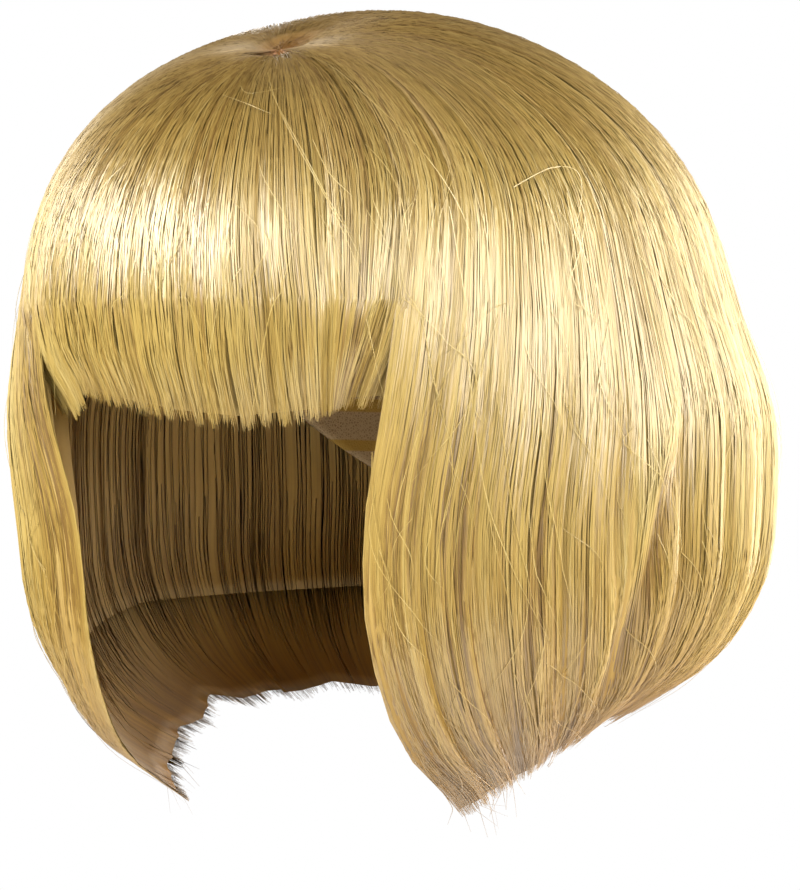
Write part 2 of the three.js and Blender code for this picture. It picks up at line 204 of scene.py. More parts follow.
# A split between two tufts: place, half width in millimetres, first run and length, each between two values
SPLIT_LOW = (0, 0.4, 1.05, 0.25)
SPLIT_HIGH = (1, 1.1, 1.6, 0.6)
SPLIT_FADE = 0.15
SPLIT_PUSH = 0.4
SPLIT_DEPTH = 0.1
# painted shade: how much darker the strands left in a split are painted
SPLIT_PAINTED_SHADE = 0.7

# How strands thin out
ROOT_THICKNESS = 0.7
ROOT_THICKENS = 0.1
TIP_THICKNESS = 0.3
TIP_THINS = 0.85

# The levels at which strands lie, 1 on the hair's outer face
DEEP_STRANDS = 0.3
DEEP_LEVELS = (0.87, 0.97)
TOP_SPREAD = 0.05
TOP_CROWDING = 0.7
INNER_STRANDS = 0.5
INNER_SPREAD = 0.05
OUTER_SPREAD = 0.1

# The mass of hair under the strands, as levels
SHELL_LOW = 0.08
SHELL_AT_WHORL = 0.06
SHELL_AT_TIPS = 0.05
SHELL_FIBRE = (0.5, 0.7, 1.0)  # its tone, its level, which paints it darker as painted shade, and how dull it is

# Loose hairs that cross their neighbours: runs, millimetres, and shares of a strand's width
CROSS_LENGTHS = (0.12, 0.45)
CROSS_WITHIN = (0.3, 1.98)
CROSS_SHARES = (0.02, 0.98)
CROSS_DRIFT = 9
CROSS_BOW = 2
CROSS_WAVE = 1
CROSS_LIFTS = (0.1, 1.6)
CROSS_CLEARANCE = 0.15
CROSS_WIDTHS = (0.5, 0.9)
CROSS_THINS = 0.7
CROSS_TONES = (0.5, 1.3)
FRINGE_CROSS_DEPTH = 0.95

# Loose hairs that hang from the tips, in the same units
HANG_SHARES = (0, 0.8)
HANG_DRIFT = 4
HANG_FROM = (1.5, 1.85)
HANG_LAST = 1.97
HANG_AIM = 0.04  # the run over which the direction at the hem is taken
HANG_LEAVES = 0.7  # the share of its length after which it hangs freely
HANG_OFF = (-1, 1.5)
HANG_SCATTER = 0.35
HANG_DOWN = (0, 0, -0.5)
HANG_LENGTHS = (3, 12)
HANG_WIDTHS = (0.5, 0.8)
HANG_THINS = 0.6
HANG_TONES = (0.3, 1.0)

# Long loose hairs over the outer hair
FLY_WIDTHS = (0.9, 0.4)
FLY_THINS = 0.6
FLY_TONE = 1.2
FLY_STEP = 0.4  # degrees

# Points along each kind of loose hair
CROSS_POINTS = 20
HANG_POINTS = 20
FLY_POINTS = 40

# The hair rises from the cap to its full depth between the bare spot and this distance from the whorl.
FUNNEL_RADIUS = 8
ROOT_LEVEL = 0.15

# Towards the tips the layers draw together at this level between the faces, by this share.
TIP_LEVEL = 0.5
TIP_CLOSING = 0.6

# Where the hair stands out from the rest: the bearings that each place passes at its runs, half its width in
# degrees, the tone that it adds, and the millimetres by which it stands proud. The first is the pale lock
# beside the ear, the next three are the dark gaps, whose darker tone is painted shade, and the rest are wide
# places painted darker and paler, which is painted shade and painted light.
ACCENT_BEGINS = 0.15
ACCENT_FADES = 0.1
ACCENT_TRAILS = 0.05
ACCENTS = [
    {"at": [1.1, 1.42, 1.8], "bearing": [82.0, 77.0, 71.5], "half": 1.5, "tone": 0.9, "lift": 1.8},
    {"at": [1.2, 1.45, 1.8], "bearing": [85.4, 80.4, 75.4], "half": 1.5, "tone": -1.0, "lift": -2.6},
    {"at": [1.3, 1.6, 1.95], "bearing": [64.5, 62.5, 58.0], "half": 0.9, "tone": -0.9, "lift": -1.6},
    {"at": [1.3, 1.5, 1.9], "bearing": [55.2, 54.5, 53.5], "half": 0.7, "tone": -0.9, "lift": -1.2},
    {"at": [1.0, 1.3, 1.6], "bearing": [-43.0, -43.0, -43.0], "half": 5.0, "tone": -0.9, "lift": 0.0},
    {"at": [1.2, 1.6, 2.1], "bearing": [-35.0, -35.0, -35.0], "half": 8.0, "tone": 0.6, "lift": 0.0},
    {"at": [1.2, 1.6, 2.1], "bearing": [36.0, 36.0, 36.0], "half": 5.0, "tone": -0.5, "lift": 0.0},
    {"at": [1.0, 1.5, 2.1], "bearing": [-62.0, -62.0, -62.0], "half": 9.0, "tone": 0.6, "lift": 0.0},
    {"at": [1.0, 1.4, 1.9], "bearing": [108.0, 108.0, 108.0], "half": 15.0, "tone": 0.7, "lift": 0.0},
]

# Long loose hairs over the outer hair: the bearings and runs that each one passes, and how far it stands off
FLY_AWAYS = [
    {
        "at": [0, 0.2, 0.4, 0.6, 0.8, 1],
        "bearing": [31.5, 37.0, 40.2, 45.2, 49.8, 52.5],
        "run": [0.13, 0.31, 0.48, 0.66, 0.81, 0.9],
        "lift": [0.4, 1.2, 1.8, 2.0, 1.6, 0.6],
    },
    {
        "at": [0, 0.33, 0.67, 1],
        "bearing": [18.5, 23.5, 29, 35],
        "run": [0.38, 0.58, 0.79, 0.94],
        "lift": [1, 2, 2, 1],
    },
    {
        "at": [0, 0.33, 0.67, 1],
        "bearing": [17.5, 22.4, 29, 36],
        "run": [0.3, 0.55, 0.8, 1.0],
        "lift": [1, 2, 2, 1],
    },
    {"at": [0, 0.5, 1], "bearing": [27.2, 29.2, 33.0], "run": [0.6, 0.71, 0.78], "lift": [0.5, 1.5, 0.5]},
    {"at": [0, 0.5, 1], "bearing": [5.8, 13.2, 19.2], "run": [0.4, 0.46, 0.5], "lift": [1, 2, 1]},
    {"at": [0, 0.5, 1], "bearing": [10.0, 14.0, 24.0], "run": [0.36, 0.42, 0.39], "lift": [1, 2, 1]},
    {
        "at": [0, 0.4, 0.7, 1],
        "bearing": [59.5, 67.2, 72.2, 68],
        "run": [0.77, 0.73, 0.75, 0.89],
        "lift": [1, 2, 2, 1],
    },
    {"at": [0, 0.5, 1], "bearing": [51.8, 56.5, 64.8], "run": [1.09, 1.33, 1.62], "lift": [0.5, 1.5, 0.5]},
]


def smooth(x, low, high):
    """0 below low and 1 above high, and 3t^2 - 2t^3 between them, where t runs evenly from low to high."""
    t = np.clip((x - low) / (high - low), 0, 1)
    return t * t * (3 - 2 * t)


def mix(a, b, t):
    """a where t is 0, b where t is 1, and in proportion between."""
    return a + (b - a) * t


def from_front(bearing):
    """A bearing of any sign, as its angle from the middle of the forehead, 0 to 180."""
    turned = np.abs(bearing) % 360
    return np.where(turned > 180, 360 - turned, turned)


def curve(table, column, at):
    """A cubic Hermite curve through a table's column. Each slope joins the two neighbours, and the first is
    level."""
    x = np.array(table["at"], float)
    y = np.array(table[column], float)
    slope = np.zeros(len(x))
    slope[1:-1] = (y[2:] - y[:-2]) / (x[2:] - x[:-2])
    slope[-1] = (y[-1] - y[-2]) / (x[-1] - x[-2])
    k = np.clip(np.searchsorted(x, at, "right") - 1, 0, len(x) - 2)
    span = x[k + 1] - x[k]
    u = np.clip((at - x[k]) / span, 0, 1)
    start = (1 + 2 * u) * (1 - u) ** 2 * y[k] + u * (1 - u) ** 2 * span * slope[k]
    end = u * u * (3 - 2 * u) * y[k + 1] + u * u * (u - 1) * span * slope[k + 1]
    return start + end


def layer_axes(depth, extra):
    """Half width, front, back and height of the layer at a depth, moved outwards by extra."""
    side = mix(CAP_HALF_WIDTH + CAP_WALL, CAP_HALF_WIDTH + SIDE_HAIR, depth) + extra
    front = mix(CAP_FRONT + CAP_WALL, CAP_FRONT + FRINGE_HAIR, depth) + extra
    back = mix(CAP_BACK + CAP_WALL, CAP_BACK + BACK_HAIR, depth) + extra
    height = CAP_HEIGHT + mix(CAP_WALL, CROWN_HAIR, depth) + extra
    return side, front, back, height


def oval_point(bearing, side, front, back):
    """x = side sin(b), y = -front cos(b) before the ears and -back cos(b) behind them."""
    angle = np.radians(bearing)
    length = np.where(np.cos(angle) > 0, front, back)
    return side * np.sin(angle), -length * np.cos(angle)


def hair_drop(bearing):
    """How far a strand falls below the girth, in straight steps from temple to ear and on to the back."""
    angle = from_front(bearing)
    front = mix(DROP_FRONT, DROP_SIDE, np.clip((angle - LOCK_FRONT) / (EAR - LOCK_FRONT), 0, 1))
    return mix(front, DROP_BACK, np.clip((angle - EAR) / BACK_TURN, 0, 1))


def plan_share(run):
    """Share of the way from whorl to girth in plan: 1 - (1 - run)^spacing."""
    return 1 - (1 - run) ** DOME_SPACING


def run_at_distance(bearing, distance):
    """The run at which a strand is this far from the whorl in plan, the inverse of plan_share."""
    x, y = oval_point(bearing, CAP_HALF_WIDTH + CAP_WALL, CAP_FRONT + CAP_WALL, CAP_BACK + CAP_WALL)
    reach = np.hypot(x - WHORL[0], y - WHORL[1])
    return 1 - (1 - distance / reach) ** (1 / DOME_SPACING)


def leaning_bearing(bearing, amount):
    """Where a strand lies once it leans by an amount: it turns by the sweep angle times that amount, fully at
    the front lock's edge, and not at all in the fringe's middle or at the back."""
    angle = from_front(bearing)
    leaning = smooth(angle, LOCK_FRONT / 2, LOCK_FRONT) * (1 - smooth(angle, LOCK_FRONT, SIDE_BACK))
    return bearing + SWEEP_ANGLE * amount * leaning * np.sign(np.sin(np.radians(bearing)))


def dome_points(bearing, run, depth, extra):
    """In plan straight from whorl to girth, apart from the lean, and in height on an ellipsoid,
    h sqrt(1 - x^2/a^2 - y^2/b^2), less the girth's tilt and the whorl's dip."""
    side, front, back, height = layer_axes(depth, extra)
    lean = GIRTH_SWEEP * (np.maximum(0, run - SWEEP_START) / (1 - SWEEP_START)) ** 2
    rim_x, rim_y = oval_point(leaning_bearing(bearing, lean), side, front, back)
    share = plan_share(run)
    x = mix(WHORL[0], rim_x, share)
    y = mix(WHORL[1], rim_y, share)
    along = y / np.where(y < 0, front, back)
    rise = np.sqrt(np.maximum(0, 1 - (x / side) ** 2 - along**2))
    dip = WHORL_DIP * np.exp(-((x - WHORL[0]) ** 2 + (y - WHORL[1]) ** 2) / WHORL_REACH**2)
    tilt = GIRTH_TILT * (1 - CROWN_LEVEL * rise)
    waist = depth * rise * (1 - rise) ** 4
    flare = np.where(y > 0, BACK_FLARE, 0)
    z = height * rise - CAP_HEIGHT - tilt * y - depth * dip
    return np.stack([x * (1 - SIDE_FLARE * waist), y * (1 - flare * waist), z], -1)


def fall_points(bearing, share, depth, extra, fall, drop):
    """The girth's oval, scaled and swept down the drop as the fall table says."""
    side, front, back, _ = layer_axes(depth, extra)
    _, girth_y = oval_point(leaning_bearing(bearing, GIRTH_SWEEP), side, front, back)
    x, y = oval_point(
        leaning_bearing(bearing, curve(fall, "sweep", share)),
        side * curve(fall, "side", share),
        front * curve(fall, "front", share),
        back * curve(fall, "back", share),
    )
    return np.stack([x, y, -CAP_HEIGHT - GIRTH_TILT * girth_y - drop * curve(fall, "drop", share)], -1)


def surface(bearing, run, depth, extra, fall, drop):
    """A layer's points: the dome up to run 1, and the fall beyond it."""
    bearing, run, depth, extra, drop = np.broadcast_arrays(bearing, run, depth, extra, drop)
    dome = dome_points(bearing, np.clip(run, 0, 1), depth, extra)
    hang = fall_points(bearing, np.maximum(run - 1, 0), depth, extra, fall, drop)
    return np.where((run <= 1)[..., None], dome, hang)


def lock_edges(locks):
    """The edges of a piece's locks, as shares of its width."""
    width = np.array(locks["width"], float)
    return np.concatenate([[0], np.cumsum(width)]) / width.sum()


def at_locks(locks, column, share):
    """A column's value at each lock's middle, and in proportion between the middles."""
    edges = lock_edges(locks)
    return np.interp(share, (edges[1:] + edges[:-1]) / 2, locks[column])


def lock_at(locks, share):
    """For shares of a piece's width: the lock's number, and the place across it from 0 to 1."""
    edges = lock_edges(locks)
    number = np.clip(np.searchsorted(edges, share, "right") - 1, 0, len(edges) - 2)
    across = np.clip((share - edges[number]) / (edges[number + 1] - edges[number]), 0, 1)
    return number, across


def lock_hollow(locks, share):
    """How far a lock's rounded face has fallen away at a share of the width: |2c - 1|^2.5, with c across it."""
    _, across = lock_at(locks, share)
    return np.abs(2 * across - 1) ** LOCK_ROUNDNESS


def lock_depth(locks, share, run):
    """The depth of the locks' faces: full along their middles, with grooves that deepen down the strand."""
    groove = mix(GROOVE_ON_DOME * smooth(run, *DOME_GROOVES), GROOVE_ON_FALL, smooth(run, *FALL_GROOVES))
    return 1 - lock_hollow(locks, share) * groove * (1 - MIDDLE_DEPTH)


def lock_lift(locks, share, run):
    """The locks' own lift, which comes in over the dome and partly fades towards the tips."""
    lift = at_locks(locks, "lift", share)
    return lift * smooth(run, *LIFT_RISES) * (1 - LIFT_FADE * smooth(run, *LIFT_FADES))


def accents(bearing, run, column):
    """A column of the accents, summed: each is a bell curve about its bearing, held within its runs."""
    total = 0 * (bearing + run)
    for accent in ACCENTS:
        begin = accent["at"][0]
        end = accent["at"][-1]
        fading = smooth(run, end - ACCENT_FADES, end + ACCENT_TRAILS)
        held = smooth(run, begin, begin + ACCENT_BEGINS) * (1 - fading)
        off = (bearing - curve(accent, "bearing", run)) / accent["half"]
        total = total + accent[column] * held * np.exp(-(off**2))
    return total


class OuterHair:
    """Long hair from the whorl to the hem, over the under hair and the ends of the fringe."""

    ragged = 0.02  # how uneven its tips are, as a run
    short = 0.03  # how much sooner its mass ends
    taper = 0.2  # how long before the tips it thins
    crossing = (0.9, 1.9)  # the runs between which its loose hairs cross
    splits = 12  # how many narrow gaps open between its tufts
    golden = 1.0  # how far the darker, golden colour of long hair's tips comes in, which is partly painted shade

    def __init__(self, start, end, locks):
        self.start = start
        self.end = end
        self.locks = locks

    def bearing(self, share):
        """The bearing at a share of the piece's width."""
        return mix(self.start, self.end, share)

    def width(self):
        """The piece's width along the girth."""
        return np.radians(self.end - self.start) * (CAP_HALF_WIDTH + SIDE_HAIR)

    def root(self, share):
        """The run at the edge of the bare spot."""
        return run_at_distance(self.bearing(share), BARE_RADIUS)

    def tip(self, share):
        """The run at the strand's end."""
        return 1 + at_locks(self.locks, "length", share)

    def risen(self, share, run):
        """How far the hair has risen off the cap: smooth from 0 at the bare spot to 1 at the funnel's rim."""
        bearing = self.bearing(share)
        return smooth(run, run_at_distance(bearing, BARE_RADIUS), run_at_distance(bearing, FUNNEL_RADIUS))

    def pattern(self, share, run):
        """The pattern's coordinates: millimetres across, and the run from 0 at the root to 1 at a long tip."""
        across = share * self.width()
        along = (np.minimum(run, 1) + self.golden * np.maximum(run - 1, 0)) / 2
        return np.stack(np.broadcast_arrays(across, along), -1)

    def faces(self, share, run):
        """Outer and inner points for shares of the width and runs. The outer face has the locks' relief, which
        flattens beside the wearer's face. The inner one lies on the cap, and on the middle surface where it
        covers other hair."""
        bearing = self.bearing(share)
        angle = from_front(bearing)
        drop = hair_drop(bearing)
        beside_face = FACE_EDGE * (1 - smooth(angle, LOCK_FRONT, LOCK_FRONT + FACE_EDGE_WIDTH))
        flattened = beside_face * smooth(run, *FACE_EDGE_RUNS)
        depth = mix(lock_depth(self.locks, share, run), MIDDLE_DEPTH, flattened)
        lift = lock_lift(self.locks, share, run) + accents(bearing, run, "lift")
        outer = surface(bearing, run, depth, lift, HAIR_FALL, drop)
        over_under = smooth(run, LIFT_START, UNDER_START)
        over_fringe = 1 - smooth(angle, FRINGE_END + COVER_MARGIN, FRINGE_END + COVER_END)
        lifted = np.maximum(over_under, over_fringe)
        clearance = mix(CAP_CLEARANCE, LAYER_CLEARANCE, lifted)
        inner = surface(bearing, run, MIDDLE_DEPTH * lifted, clearance, HAIR_FALL, drop)
        return outer, inner

    def loose_face(self, share, run):
        """The face that loose hairs cross, which is the outer one."""
        return self.faces(share, run)[0]


class Fringe(OuterHair):
    """The fringe, whose ends sink towards the middle surface inside the front locks."""

    ragged = 0.08
    short = 0.12
    taper = 0.5
    crossing = (0.75, 1.05)
    splits = 8
    golden = 0.4

    def tip(self, share):
        """The last run everywhere, because the drop has the locks' lengths."""
        return 2 + 0 * share

    def faces(self, share, run):
        """Outer and inner points. The locks' relief goes where the ends are tucked in."""
        bearing = self.bearing(share)
        drop = DROP_FRINGE * at_locks(self.locks, "length", share)
        tuck = smooth(from_front(bearing), FRINGE_END - FRINGE_SINK, FRINGE_END)
        free = lock_depth(self.locks, share, run) - FRINGE_THINNING * smooth(run, 1, 2)
        lift = lock_lift(self.locks, share, run) * (1 - tuck)
        outer = surface(bearing, run, mix(free, MIDDLE_DEPTH, tuck), lift, FRINGE_FALL, drop)
        inner_depth = FRINGE_DEPTH_AT_HEM * smooth(run, 1, 2)
        inner = surface(bearing, run, inner_depth, CAP_CLEARANCE, FRINGE_FALL, drop)
        return outer, inner

    def loose_face(self, share, run):
        """Loose hairs over the fringe keep to the long hair's surface."""
        return surface(self.bearing(share), run, FRINGE_CROSS_DEPTH, 0, HAIR_FALL, DROP_FRONT)


class UnderHair(OuterHair):
    """The shorter rows beneath, from one temple round the nape to the other."""

    ragged = 0.15
    short = 0.2
    taper = 0.3
    splits = 0

    def root(self, share):
        """The run at which the first row is sewn on."""
        return UNDER_START + 0 * share

    def tip(self, share):
        """The run at the shorter hem."""
        return UNDER_END + 0 * share

    def risen(self, share, run):
        """Risen everywhere, since it starts far from the whorl."""
        return 1 + 0 * run

    def faces(self, share, run):
        """Outer and inner points, from the middle surface down to the cap, with a shallow relief on both."""
        bearing = self.bearing(share)
        drop = hair_drop(bearing)
        groove = GROOVE_ON_UNDER_HAIR * lock_hollow(self.locks, share) * smooth(run, *UNDER_GROOVES)
        outer = surface(bearing, run, MIDDLE_DEPTH - groove, 0, HAIR_FALL, drop)
        inner_depth = (UNDER_DEPTH_AT_HEM + groove) * smooth(run, 1, 2)
        inner = surface(bearing, run, inner_depth, CAP_CLEARANCE, HAIR_FALL, drop)
        return outer, inner


def unit(vectors):
    """The vectors at length 1."""
    return vectors / np.maximum(np.linalg.norm(vectors, axis=-1, keepdims=True), 1e-9)


def along_strands(points):
    """Unit tangents down the strands, by differences between rows. The rows are the axis before the last."""
    return unit(np.gradient(points, axis=-2))


def outward(points):
    """Unit vectors away from the middle of the head, which stand roughly square to every layer. Below the girth
    they are turned towards the level."""
    away = points - np.array([0.0, 0.0, -CAP_HEIGHT])
    away[..., 2] = np.where(points[..., 2] < -CAP_HEIGHT, BELOW_GIRTH * away[..., 2], away[..., 2])
    return unit(away)


class Parts:
    """Collects closed bodies for one mesh: points, four-cornered faces, each point's place in the pattern, the
    direction of its strand, its fibre's tone, level and dullness, and its normal, or zeros for the mesh's
    own."""

    def __init__(self):
        self.points = []
        self.quads = []
        self.pattern = []
        self.flow = []
        self.fibre = []
        self.normals = []
        self.count = 0

    def add(self, points, quads, pattern, flow, fibre, normals):
        """points (n, 3), quads (m, 4) with a triangle's last corner repeated, pattern (n, 2), and the rest
        (n, 3)."""
        self.points.append(points)
        self.quads.append(quads + self.count)
        self.pattern.append(pattern)
        self.flow.append(flow)
        self.fibre.append(fibre)
        self.normals.append(normals)
        self.count += len(points)


def strips(a, b, c, d):
    """Four-cornered faces from four equal grids of point numbers."""
    return np.stack([a, b, c, d], -1).reshape(-1, 4)


def add_shell(parts, outer, inner, pattern):
    """A closed wall between two grids of (columns, rows) points, with its four edges closed."""
    columns, rows = outer.shape[:2]
    at = np.arange(columns * rows).reshape(columns, rows)
    under = at + columns * rows
    quads = [
        strips(at[:-1, :-1], at[:-1, 1:], at[1:, 1:], at[1:, :-1]),
        strips(under[:-1, :-1], under[1:, :-1], under[1:, 1:], under[:-1, 1:]),
        strips(at[:-1, 0], at[1:, 0], under[1:, 0], under[:-1, 0]),
        strips(at[:-1, -1], under[:-1, -1], under[1:, -1], at[1:, -1]),
        strips(at[0, :-1], under[0, :-1], under[0, 1:], at[0, 1:]),
        strips(at[-1, :-1], at[-1, 1:], under[-1, 1:], under[-1, :-1]),
    ]
    points = np.concatenate([outer.reshape(-1, 3), inner.reshape(-1, 3)])
    flow = np.concatenate([along_strands(outer).reshape(-1, 3), along_strands(inner).reshape(-1, 3)])
    pattern = np.concatenate([pattern.reshape(-1, 2)] * 2)
    fibre = np.tile(SHELL_FIBRE, (len(points), 1))
    parts.add(points, np.concatenate(quads), pattern, flow, fibre, np.zeros_like(points))


def blurred_along(vectors):
    """Unit vectors smoothed down the strands, each with its two neighbours in shares of 1, 2 and 1."""
    rows = vectors.shape[1]
    for _ in range(NORMAL_BLURS):
        before = vectors[:, [0, *range(rows - 1)]]
        after = vectors[:, [*range(1, rows), rows - 1]]
        vectors = unit(before + 2 * vectors + after)
    return vectors


def add_strands(parts, paths, widths, pattern, tone, level, beside):
    """Closed three-sided tubes along paths (strands, rows, 3), flattened a little against the head. The ring's
    corners stand at 90, 210 and 330 degrees: width/2 cos across the strand, and thickness/2 sin outwards.
    beside is a step across the hair at each point, and a corner's normal leans from its own way out to the
    hair's."""
    strands, rows = paths.shape[:2]
    down = along_strands(paths)
    face = unit(np.cross(beside, down))
    face *= np.sign(np.sum(face * outward(paths), -1, keepdims=True))
    across = unit(np.cross(down, face))
    out = np.cross(across, down)
    out *= np.sign(np.sum(out * face, -1, keepdims=True))
    angles = np.radians(90 + np.arange(STRAND_SIDES) * 360 / STRAND_SIDES)
    sideways = across[:, :, None] * np.cos(angles)[:, None]
    own = sideways + out[:, :, None] * np.sin(angles)[:, None]
    flat = sideways + STRAND_THICKNESS * out[:, :, None] * np.sin(angles)[:, None]
    ring = paths[:, :, None] + widths[..., None, None] / 2 * flat
    soft = blurred_along(out)
    lean = BAND_JITTER * (tone[:, :1, None, None] - 0.5) * 2
    normals = unit(mix(own, soft[:, :, None] + 0 * own, SURFACE_SHARE) + lean * down[:, :, None])
    at = np.arange(strands * rows * STRAND_SIDES).reshape(strands, rows, STRAND_SIDES)
    turned = np.roll(at, -1, axis=2)
    sides = strips(at[:, :-1], at[:, 1:], turned[:, 1:], turned[:, :-1])
    ends = np.concatenate([at[:, 0], at[:, -1, ::-1]])
    ends = np.concatenate([ends, ends[:, -1:]], 1)
    dull = 1 - smooth(pattern[..., 1], *DULL_ROOTS)
    fibre = np.stack(np.broadcast_arrays(tone, level, dull), -1)
    parts.add(
        ring.reshape(-1, 3),
        np.concatenate([sides, ends]),
        np.repeat(pattern[:, :, None], STRAND_SIDES, 2).reshape(-1, 2),
        np.repeat(down[:, :, None], STRAND_SIDES, 2).reshape(-1, 3),
        np.repeat(fibre[:, :, None], STRAND_SIDES, 2).reshape(-1, 3),
        normals.reshape(-1, 3),
    )


def make_object(name, parts, material):
    """One mesh object at the origin, in metres, from collected bodies. A quad whose last two corners agree is a
    triangle."""
    points = np.concatenate(parts.points) * METRES
    quads = np.concatenate(parts.quads)
    pattern = np.concatenate(parts.pattern)
    sizes = np.where(quads[:, 2] == quads[:, 3], 3, 4)
    corners = quads[np.arange(4)[None, :] < sizes[:, None]]
    mesh = bpy.data.meshes.new(name)
    mesh.vertices.add(len(points))
    mesh.vertices.foreach_set("co", points.astype(np.float32).ravel())
    mesh.loops.add(len(corners))
    mesh.loops.foreach_set("vertex_index", corners.astype(np.int32))
    mesh.polygons.add(len(quads))
    starts = np.concatenate([[0], np.cumsum(sizes)[:-1]])
    mesh.polygons.foreach_set("loop_start", starts.astype(np.int32))
    mesh.update(calc_edges=True)
    mesh.shade_smooth()
    layer = mesh.uv_layers.new(name="Strand")
    layer.uv.foreach_set("vector", pattern[corners].astype(np.float32).ravel())
    for label, values in (("flow", parts.flow), ("fibre", parts.fibre)):
        attribute = mesh.attributes.new(label, "FLOAT_VECTOR", "POINT")
        attribute.data.foreach_set("vector", np.concatenate(values).astype(np.float32).ravel())
    mesh.normals_split_custom_set_from_vertices(np.concatenate(parts.normals))
    mesh.materials.append(material)
    made = bpy.data.objects.new(name, mesh)
    bpy.context.scene.collection.objects.link(made)
    return made


def part_tufts(rng, hair, share):
    """Parts each lock evenly into tufts of about the tuft's width. For strands at shares of the width: how far
    each lies off its tuft's middle as a share of the width, its place across the tuft from -1 to 1, and the
    tuft's two random values, its look and its hold."""
    number, across = lock_at(hair.locks, share)
    lock_width = np.diff(lock_edges(hair.locks))[number]
    tufts = np.maximum(1, np.round(lock_width * hair.width() / TUFT_WIDTH))
    tuft = np.floor(np.minimum(across, 0.999) * tufts)
    to_middle = ((tuft + 0.5) / tufts - across) * lock_width
    in_tuft = 2 * (across * tufts - tuft) - 1
    seed = (number * 17 + tuft).astype(int)
    look, hold = rng.uniform(0, 1, (2, seed.max() + 1))[:, seed]
    return to_middle, in_tuft, look, hold


def strand_roots(rng, hair, share):
    """Which strands come out late, and the run at which each one begins."""
    count = len(share)
    root = hair.root(share)
    late = rng.uniform(0, 1, count) < LATE_STRANDS
    late_root = mix(root, LAST_ROOT, rng.uniform(*LATE_ROOTS, count) ** LATE_CROWDING)
    return late, np.where(late, late_root, root + ROOT_SPREAD * rng.uniform(*ROOT_SPREADS, count))


def strand_tips(rng, hair, share, tooth):
    """The run at which each strand ends: some fall short, and tufts end in teeth."""
    count = len(share)
    short = rng.exponential(TIP_SHORTFALL, count)
    return hair.tip(share) - hair.ragged * (short + TIP_TOOTH * tooth + TIP_NOISE * rng.normal(0, 1, count))


def open_splits(rng, hair, place, run, level, tone):
    """Narrow gaps between tufts: strands are pushed aside of each, and those left in it lie deeper and are
    painted darker, which is painted shade in the gap, by a bell curve across the gap."""
    width = hair.width()
    for _ in range(hair.splits):
        centre, half, begin, length = rng.uniform(SPLIT_LOW, SPLIT_HIGH)
        end = begin + length
        held = smooth(run, begin, begin + SPLIT_FADE) * (1 - smooth(run, end - SPLIT_FADE, end))
        gap = np.exp(-(((place - centre) * width / half) ** 2)) * held
        place = place + np.sign(place - centre) * SPLIT_PUSH * gap * half / width
        level = level - SPLIT_DEPTH * gap
        tone = tone - SPLIT_PAINTED_SHADE * gap
    return place, level, tone


def comb(rng, hair, count, points, levels, reach):
    """Strands of a piece. Each keeps its share of the width but for a slow wander and the pull of its tuft, and
    runs between the two faces at its own level: 1 on the outer face, 0 on the inner one. reach lets the
    outermost strands stray past the piece's edges, in millimetres."""
    width = hair.width()
    low = -reach[0] / width
    high = 1 + reach[1] / width
    start = low + (high - low) * (np.arange(count) + rng.uniform(0, 1, count)) / count
    share = np.clip(start, 0, 1)
    to_middle, in_tuft, look, hold = part_tufts(rng, hair, share)
    late, root = strand_roots(rng, hair, share)
    tip = strand_tips(rng, hair, share, in_tuft**2 * hold + look)[:, None]
    steps = np.arange(points)[None, :] + rng.uniform(-STEP_SHIFT, STEP_SHIFT, (count, 1))
    steps[:, 0] = 0
    steps[:, -1] = points - 1
    step = steps / (points - 1)
    run = mix(root[:, None], tip, step)
    pull = TUFT_PULL * smooth(run, *PULL_RUNS) * (rng.uniform(*TUFT_PULLS, count) * hold)[:, None]
    slow, middle, fast = rng.normal(0, 1, (3, count, 1))
    waves = slow * np.sin(WAVES["slow"] * run) + middle * np.cos(WAVES["middle"] * run)
    waves = waves + FAST_SHARE * fast * np.sin(WAVES["fast"] * run)
    wander = waves * WANDER / width * smooth(run, *WANDER_RUNS)
    place = start[:, None] + to_middle[:, None] * pull + wander
    tone = rng.uniform(0, 1, (count, 1)) + 0 * run
    level = levels(rng, count)[:, None]
    level = level + (look[:, None] - 0.5) * TUFT_STEP * smooth(run, *TUFT_STEP_RUNS)
    place, level, tone = open_splits(rng, hair, place, run, level, tone)
    # The accents' tones add painted shade in the dark gaps and painted shade and light in the wide places.
    tone = tone + accents(hair.bearing(place), run, "tone")
    buried = np.where(late, LATE_DEPTH, 0.0)[:, None] * (1 - smooth(step, 0, LATE_RISE))
    level = (level - buried) * mix(ROOT_LEVEL, 1, hair.risen(place, run))
    level = mix(level, TIP_LEVEL, TIP_CLOSING * smooth(run, tip - hair.taper, tip))
    outer, inner = hair.faces(place, run)
    next_outer, next_inner = hair.faces(place + 0.5 / width, run)
    paths = mix(inner, outer, level[..., None])
    beside = mix(next_inner, next_outer, level[..., None]) - paths
    size = STRAND_WIDTH * rng.uniform(*STRAND_WIDTHS, count)
    thick = mix(ROOT_THICKNESS, 1.0, smooth(step, 0, ROOT_THICKENS))
    thick = thick * mix(1.0, TIP_THICKNESS, smooth(step, TIP_THINS, 1))
    pattern = hair.pattern(start[:, None] + rng.normal(0, PATTERN_SPREAD, (count, 1)) / width, run)
    return paths, size[:, None] * thick, pattern, tone, np.clip(level, 0, 1), beside


